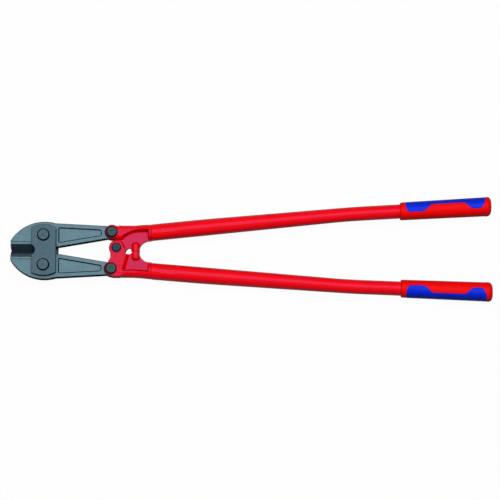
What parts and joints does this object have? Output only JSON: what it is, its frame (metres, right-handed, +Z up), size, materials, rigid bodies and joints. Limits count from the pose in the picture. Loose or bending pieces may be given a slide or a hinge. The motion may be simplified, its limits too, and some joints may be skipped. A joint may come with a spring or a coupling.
{
  "type": "bolt cutters",
  "caption": "Closed two-handed bolt cutters with compound leverage: short jaws between side plates, forged handle ends, long tubular handles and moulded grips.",
  "frame": {"origin": "centre of the bounding box, on the surface that the tool rests on", "axes": "+X from the jaws to the grips, +Y from the lower to the upper handle, +Z up through the thickness of the tool"},
  "size_m": [0.91, 0.2012, 0.0407],
  "materials": {
    "jaw_steel": "forged alloy steel, blasted and lightly oiled, ground beside the cutting edges",
    "plate_steel": "dull grey-blue steel plate and bolt heads",
    "bolt_steel": "dark blackened steel fasteners",
    "dark_steel": "smooth dark slate pivot cap",
    "red_paint": "glossy red enamel",
    "grip_red": "satin red moulded grip, ribbed on its inner side",
    "grip_blue": "smooth blue moulded inlay"
  },
  "bodies": {
    "head": {"front_side_plate": "plate_steel", "rear_side_plate": "plate_steel", "upper_jaw_bolt": "plate_steel", "upper_jaw_washer": "bolt_steel", "upper_jaw_nut": "bolt_steel", "lower_jaw_bolt": "plate_steel", "lower_jaw_washer": "bolt_steel", "lower_jaw_nut": "bolt_steel"},
    "upper_jaw": {"upper_jaw": "jaw_steel"},
    "lower_jaw": {"lower_jaw": "jaw_steel"},
    "upper_handle": {"upper_handle_forging": "red_paint", "upper_handle_tube": "red_paint", "upper_grip_sleeve": "grip_red", "upper_grip_inlay": "grip_blue", "upper_tail_bolt": "bolt_steel", "upper_tail_washer": "bolt_steel", "upper_tail_nut": "bolt_steel"},
    "lower_handle": {"lower_handle_forging": "red_paint", "lower_handle_tube": "red_paint", "lower_grip_sleeve": "grip_red", "lower_grip_inlay": "grip_blue", "lower_tail_bolt": "bolt_steel", "lower_tail_washer": "bolt_steel", "lower_tail_nut": "bolt_steel", "centre_bolt": "dark_steel", "centre_washer": "bolt_steel", "centre_nut": "bolt_steel"}
  },
  "joints": [
    {"name": "upper_jaw_turn", "type": "hinge", "parent": "head", "child": "upper_jaw", "pos_m": [-0.3923, 0.02504, 0.0187], "axis": [0, 0, -1], "range_deg": [0, 7.35]},
    {"name": "lower_jaw_turn", "type": "hinge", "parent": "head", "child": "lower_jaw", "pos_m": [-0.3923, -0.03196, 0.0187], "axis": [0, 0, 1], "range_deg": [0, 7.35]},
    {"name": "upper_tail_turn", "type": "hinge", "parent": "upper_jaw", "child": "upper_handle", "pos_m": [-0.2631, 0.03164, 0.0187], "axis": [0, 0, 1], "range_deg": [0, 65.3]},
    {"name": "handles_open", "type": "hinge", "parent": "upper_handle", "child": "lower_handle", "pos_m": [-0.2544, 0.0017, 0.0187], "axis": [0, 0, -1], "range_deg": [0, 96]}
  ],
  "couplings": [
    {"joint": "upper_jaw_turn", "follows": "handles_open", "ratio": 0.0765},
    {"joint": "lower_jaw_turn", "follows": "handles_open", "ratio": 0.0765},
    {"joint": "upper_tail_turn", "follows": "handles_open", "ratio": 0.68}
  ]
}
